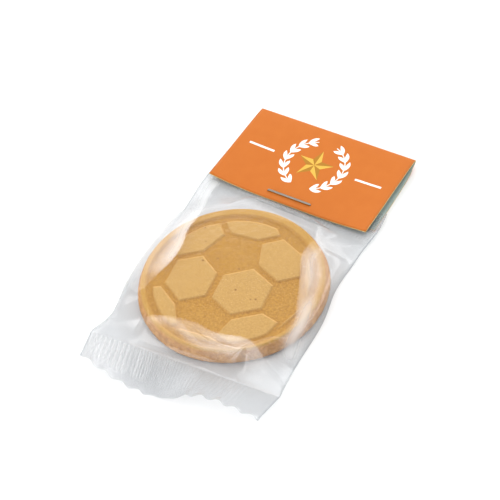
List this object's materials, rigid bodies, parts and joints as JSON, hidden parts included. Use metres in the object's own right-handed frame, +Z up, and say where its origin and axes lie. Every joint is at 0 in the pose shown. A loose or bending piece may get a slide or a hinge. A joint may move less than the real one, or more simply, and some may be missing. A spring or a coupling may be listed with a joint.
{
  "type": "embossed cookie",
  "caption": "Round shortbread cookie embossed with a football pattern, sealed in a clear film bag with a folded orange card header stapled over one end, lying flat.",
  "frame": {"origin": "the middle of the cookie, on the surface that the pack lies on", "axes": "+X across the pack to the right, +Y along the pack from the open seal to the header card, +Z up out of the cookie's embossed face"},
  "size_m": [0.0512, 0.0936, 0.0064],
  "materials": {
    "biscuit": "baked shortbread, dry and matt with a fine crumb, browner at the side",
    "clear_film": "thin clear polypropylene film, glossy and crinkled, crimped at the seals",
    "printed_card": "smooth coated card printed orange outside, plain grey-green inside",
    "staple_wire": "drawn steel wire, slightly dull"
  },
  "bodies": {
    "root": {"cookie": "biscuit", "bag": "clear_film", "header_card": "printed_card", "staple": "staple_wire"}
  },
  "joints": []
}
